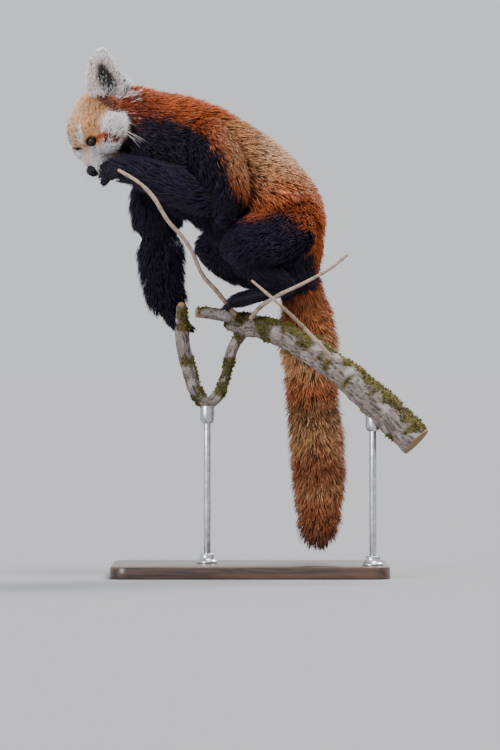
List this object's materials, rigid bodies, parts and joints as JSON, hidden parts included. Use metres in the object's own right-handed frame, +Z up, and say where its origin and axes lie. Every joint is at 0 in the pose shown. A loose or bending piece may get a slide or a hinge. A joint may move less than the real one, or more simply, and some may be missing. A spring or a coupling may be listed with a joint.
{
  "type": "red panda museum model",
  "caption": "Life-size red panda crouched on a cut length of mossy branch, a forepaw at its mouth and its ringed tail hanging, held by a flat base and short rods.",
  "frame": {"origin": "centre of the display base's underside", "axes": "+Z up, the head towards -X, the animal's left side towards -Y; the picture is taken looking along +Y"},
  "size_m": [0.5212, 0.27, 0.7624],
  "materials": {
    "eye": "wet dark brown glass eye",
    "nose_leather": "moist black leather",
    "face_coat": "short cream fur with tan forehead",
    "back_coat": "long rufous fur",
    "tail_coat": "bushy ringed fur",
    "dark_coat": "soft black fur",
    "bough_bark": "rough bark with moss",
    "twig_bark": "smooth pale bark",
    "stand_steel": "satin",
    "stand_base": "satin dark lacquer"
  },
  "bodies": {
    "root": {"eye_left": "eye", "eye_right": "eye", "nose": "nose_leather", "head": "face_coat", "perch_bough": "bough_bark", "perch_toe_branch": "bough_bark", "perch_twig_long": "twig_bark", "perch_twig_rise": "twig_bark", "perch_twig_cross": "twig_bark", "perch_v_arm": "bough_bark", "perch_stub": "bough_bark", "stand_base": "stand_base", "stand_rod_left": "stand_steel", "stand_socket_left": "stand_steel", "stand_saddle_left": "stand_steel", "stand_rod_right": "stand_steel", "stand_socket_right": "stand_steel", "stand_saddle_right": "stand_steel", "neck": "back_coat", "torso_front": "dark_coat", "torso_rear": "back_coat", "tail_upper": "tail_coat", "tail_middle": "tail_coat", "tail_tip": "tail_coat", "ear_left": "face_coat", "ear_right": "face_coat", "forepaw_left": "dark_coat", "forepaw_right": "dark_coat", "hind_foot_left": "dark_coat", "hind_foot_right": "dark_coat", "shank_right": "dark_coat", "thigh_right": "dark_coat", "shank_left": "dark_coat", "thigh_left": "dark_coat", "forearm_right": "dark_coat", "upper_arm_right": "dark_coat", "forearm_left": "dark_coat", "upper_arm_left": "dark_coat"}
  },
  "joints": []
}
